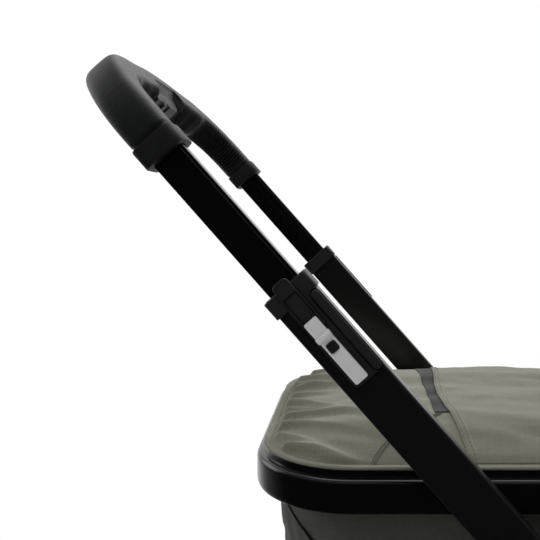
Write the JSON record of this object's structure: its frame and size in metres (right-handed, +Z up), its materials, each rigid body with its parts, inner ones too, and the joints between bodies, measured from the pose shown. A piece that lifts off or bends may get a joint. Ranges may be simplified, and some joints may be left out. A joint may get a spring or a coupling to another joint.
{
  "type": "two-in-one pram",
  "caption": "Folding pram frame with a telescopic U handle, flip latches and swivel front wheels, carrying a lift-off carrycot with apron and folding canopy.",
  "frame": {"origin": "on the floor, under the middle of the whole object's box", "axes": "+X the way the pram rolls forward, +Y its left side, +Z up"},
  "size_m": [0.982, 0.59, 1.11],
  "materials": {
    "gloss_tube": "gloss black coating",
    "gloss_rim": "gloss black",
    "matte_black": "fine matte grain",
    "collar_grey": "matte grey-black",
    "leatherette": "black leatherette, stitched",
    "silver_plate": "satin silver",
    "tyre_rubber": "black rubber",
    "olive_fabric": "olive-grey woven fabric",
    "dark_fabric": "dark olive woven fabric",
    "pad_fabric": "pale grey cotton"
  },
  "bodies": {
    "front_frame": {"hub_right": "matte_black", "hub_left": "matte_black", "hub_cap_right": "matte_black", "hub_cap_left": "matte_black", "front_leg_right": "gloss_tube", "front_leg_left": "gloss_tube", "front_crossbar": "gloss_tube", "swivel_housing_right": "matte_black", "swivel_housing_left": "matte_black", "basket_frame": "gloss_tube", "basket": "dark_fabric"},
    "upper_frame": {"outer_tube_right": "gloss_tube", "outer_tube_left": "gloss_tube", "latch_collar_right": "matte_black", "latch_collar_left": "matte_black", "latch_plate_right": "silver_plate", "latch_plate_left": "silver_plate"},
    "handle": {"inner_tube_right": "gloss_tube", "inner_tube_left": "gloss_tube", "grip_collar_right": "collar_grey", "grip_collar_left": "collar_grey", "grip_wrap": "leatherette", "handle_core": "gloss_tube", "fold_housing": "collar_grey"},
    "fold_trigger": {"fold_trigger": "matte_black"},
    "fold_lock_button": {"fold_lock_button": "matte_black"},
    "latch_lever_right": {"latch_lever_right": "matte_black", "lever_plate_right": "silver_plate"},
    "latch_lever_left": {"latch_lever_left": "matte_black", "lever_plate_left": "silver_plate"},
    "latch_button_right": {"latch_button_right": "matte_black"},
    "latch_button_left": {"latch_button_left": "matte_black"},
    "rear_frame": {"rear_leg_right": "gloss_tube", "rear_leg_left": "gloss_tube", "rear_axle": "gloss_tube"},
    "brake_pedal": {"brake_pedal": "matte_black"},
    "brake_pin_right": {"brake_pin_right": "silver_plate"},
    "brake_pin_left": {"brake_pin_left": "silver_plate"},
    "rear_wheel_right": {"rear_rim_right": "matte_black", "rear_tyre_right": "tyre_rubber"},
    "rear_wheel_left": {"rear_rim_left": "matte_black", "rear_tyre_left": "tyre_rubber"},
    "front_fork_right": {"front_fork_right": "matte_black"},
    "front_fork_left": {"front_fork_left": "matte_black"},
    "front_wheel_right": {"front_rim_right": "matte_black", "front_tyre_right": "tyre_rubber"},
    "front_wheel_left": {"front_rim_left": "matte_black", "front_tyre_left": "tyre_rubber"},
    "carrycot": {"cot_rim": "gloss_rim", "cot_body": "dark_fabric", "mattress": "pad_fabric", "apron": "olive_fabric", "cot_bracket_right": "matte_black", "cot_bracket_left": "matte_black", "canopy_rear_panel": "olive_fabric"},
    "release_button_right": {"release_button_right": "collar_grey"},
    "release_button_left": {"release_button_left": "collar_grey"},
    "canopy_front_bow": {"canopy_front_bow": "leatherette", "canopy_front_panel": "olive_fabric"},
    "canopy_middle_bow": {"canopy_middle_bow": "matte_black"}
  },
  "joints": [
    {"name": "frame_fold", "type": "hinge", "parent": "front_frame", "child": "upper_frame", "pos_m": [0.05605, 0, 0.4965], "axis": [0, 1, 0], "range_deg": [0, 165]},
    {"name": "rear_fold", "type": "hinge", "parent": "front_frame", "child": "rear_frame", "pos_m": [0.05605, 0, 0.4965], "axis": [0, 1, 0], "range_deg": [-40, 0]},
    {"name": "handle_telescope", "type": "slide", "parent": "upper_frame", "child": "handle", "axis": [-0.6626, 0, 0.749], "range_m": [-0.11, 0]},
    {"name": "fold_trigger_pull", "type": "slide", "parent": "handle", "child": "fold_trigger", "axis": [-0.6626, 0, 0.749], "range_m": [0, 0.004], "stiffness_N_per_m": 400, "springref_m": -0.003},
    {"name": "fold_lock_press", "type": "slide", "parent": "handle", "child": "fold_lock_button", "axis": [-0.6626, 0, 0.749], "range_m": [0, 0.003], "stiffness_N_per_m": 400, "springref_m": -0.003},
    {"name": "latch_lever_right_flip", "type": "hinge", "parent": "upper_frame", "child": "latch_lever_right", "pos_m": [-0.22602, -0.2652, 0.8132], "axis": [0.749, 0, 0.6626], "range_deg": [0, 75]},
    {"name": "latch_lever_left_flip", "type": "hinge", "parent": "upper_frame", "child": "latch_lever_left", "pos_m": [-0.22602, 0.2652, 0.8132], "axis": [-0.749, 0, -0.6626], "range_deg": [0, 75]},
    {"name": "latch_button_right_press", "type": "slide", "parent": "upper_frame", "child": "latch_button_right", "axis": [0, 1, 0], "range_m": [0, 0.0015], "stiffness_N_per_m": 300, "springref_m": -0.002},
    {"name": "latch_button_left_press", "type": "slide", "parent": "upper_frame", "child": "latch_button_left", "axis": [0, -1, 0], "range_m": [0, 0.0015], "stiffness_N_per_m": 300, "springref_m": -0.002},
    {"name": "brake_pedal_press", "type": "hinge", "parent": "rear_frame", "child": "brake_pedal", "pos_m": [-0.29395, 0, 0.14], "axis": [0, -1, 0], "range_deg": [0, 20]},
    {"name": "brake_pin_right_slide", "type": "slide", "parent": "rear_frame", "child": "brake_pin_right", "axis": [0, -1, 0], "range_m": [0, 0.008]},
    {"name": "brake_pin_left_slide", "type": "slide", "parent": "rear_frame", "child": "brake_pin_left", "axis": [0, 1, 0], "range_m": [0, 0.008]},
    {"name": "rear_wheel_right_spin", "type": "hinge", "parent": "rear_frame", "child": "rear_wheel_right", "pos_m": [-0.29395, -0.2725, 0.14], "axis": [0, 1, 0], "continuous": true},
    {"name": "rear_wheel_left_spin", "type": "hinge", "parent": "rear_frame", "child": "rear_wheel_left", "pos_m": [-0.29395, 0.2725, 0.14], "axis": [0, 1, 0], "continuous": true},
    {"name": "front_swivel_right", "type": "hinge", "parent": "front_frame", "child": "front_fork_right", "pos_m": [0.30607, -0.221, 0.2], "axis": [0, 0, 1], "continuous": true},
    {"name": "front_swivel_left", "type": "hinge", "parent": "front_frame", "child": "front_fork_left", "pos_m": [0.30607, 0.221, 0.2], "axis": [0, 0, 1], "continuous": true},
    {"name": "front_wheel_right_spin", "type": "hinge", "parent": "front_fork_right", "child": "front_wheel_right", "pos_m": [0.27107, -0.221, 0.095], "axis": [0, 1, 0], "continuous": true},
    {"name": "front_wheel_left_spin", "type": "hinge", "parent": "front_fork_left", "child": "front_wheel_left", "pos_m": [0.27107, 0.221, 0.095], "axis": [0, 1, 0], "continuous": true},
    {"name": "cot_lift", "type": "slide", "parent": "front_frame", "child": "carrycot", "axis": [0, 0, 1], "range_m": [0, 0.25]},
    {"name": "release_button_right_press", "type": "slide", "parent": "carrycot", "child": "release_button_right", "axis": [0, 1, 0], "range_m": [0, 0.002], "stiffness_N_per_m": 300, "springref_m": -0.002},
    {"name": "release_button_left_press", "type": "slide", "parent": "carrycot", "child": "release_button_left", "axis": [0, -1, 0], "range_m": [0, 0.002], "stiffness_N_per_m": 300, "springref_m": -0.002},
    {"name": "canopy_fold", "type": "hinge", "parent": "carrycot", "child": "canopy_front_bow", "pos_m": [0.27605, 0, 0.677], "axis": [0, 1, 0], "range_deg": [0, 80], "deforming": ["canopy_front_panel", "canopy_rear_panel"]},
    {"name": "canopy_middle", "type": "hinge", "parent": "carrycot", "child": "canopy_middle_bow", "pos_m": [0.27605, 0, 0.677], "axis": [0, 1, 0], "range_deg": [0, 50]}
  ],
  "couplings": [
    {"joint": "rear_fold", "follows": "frame_fold", "ratio": -0.24242},
    {"joint": "brake_pin_right_slide", "follows": "brake_pedal_press", "m_per_rad": 0.0229},
    {"joint": "brake_pin_left_slide", "follows": "brake_pedal_press", "m_per_rad": 0.0229},
    {"joint": "canopy_middle", "follows": "canopy_fold", "ratio": 0.625}
  ]
}
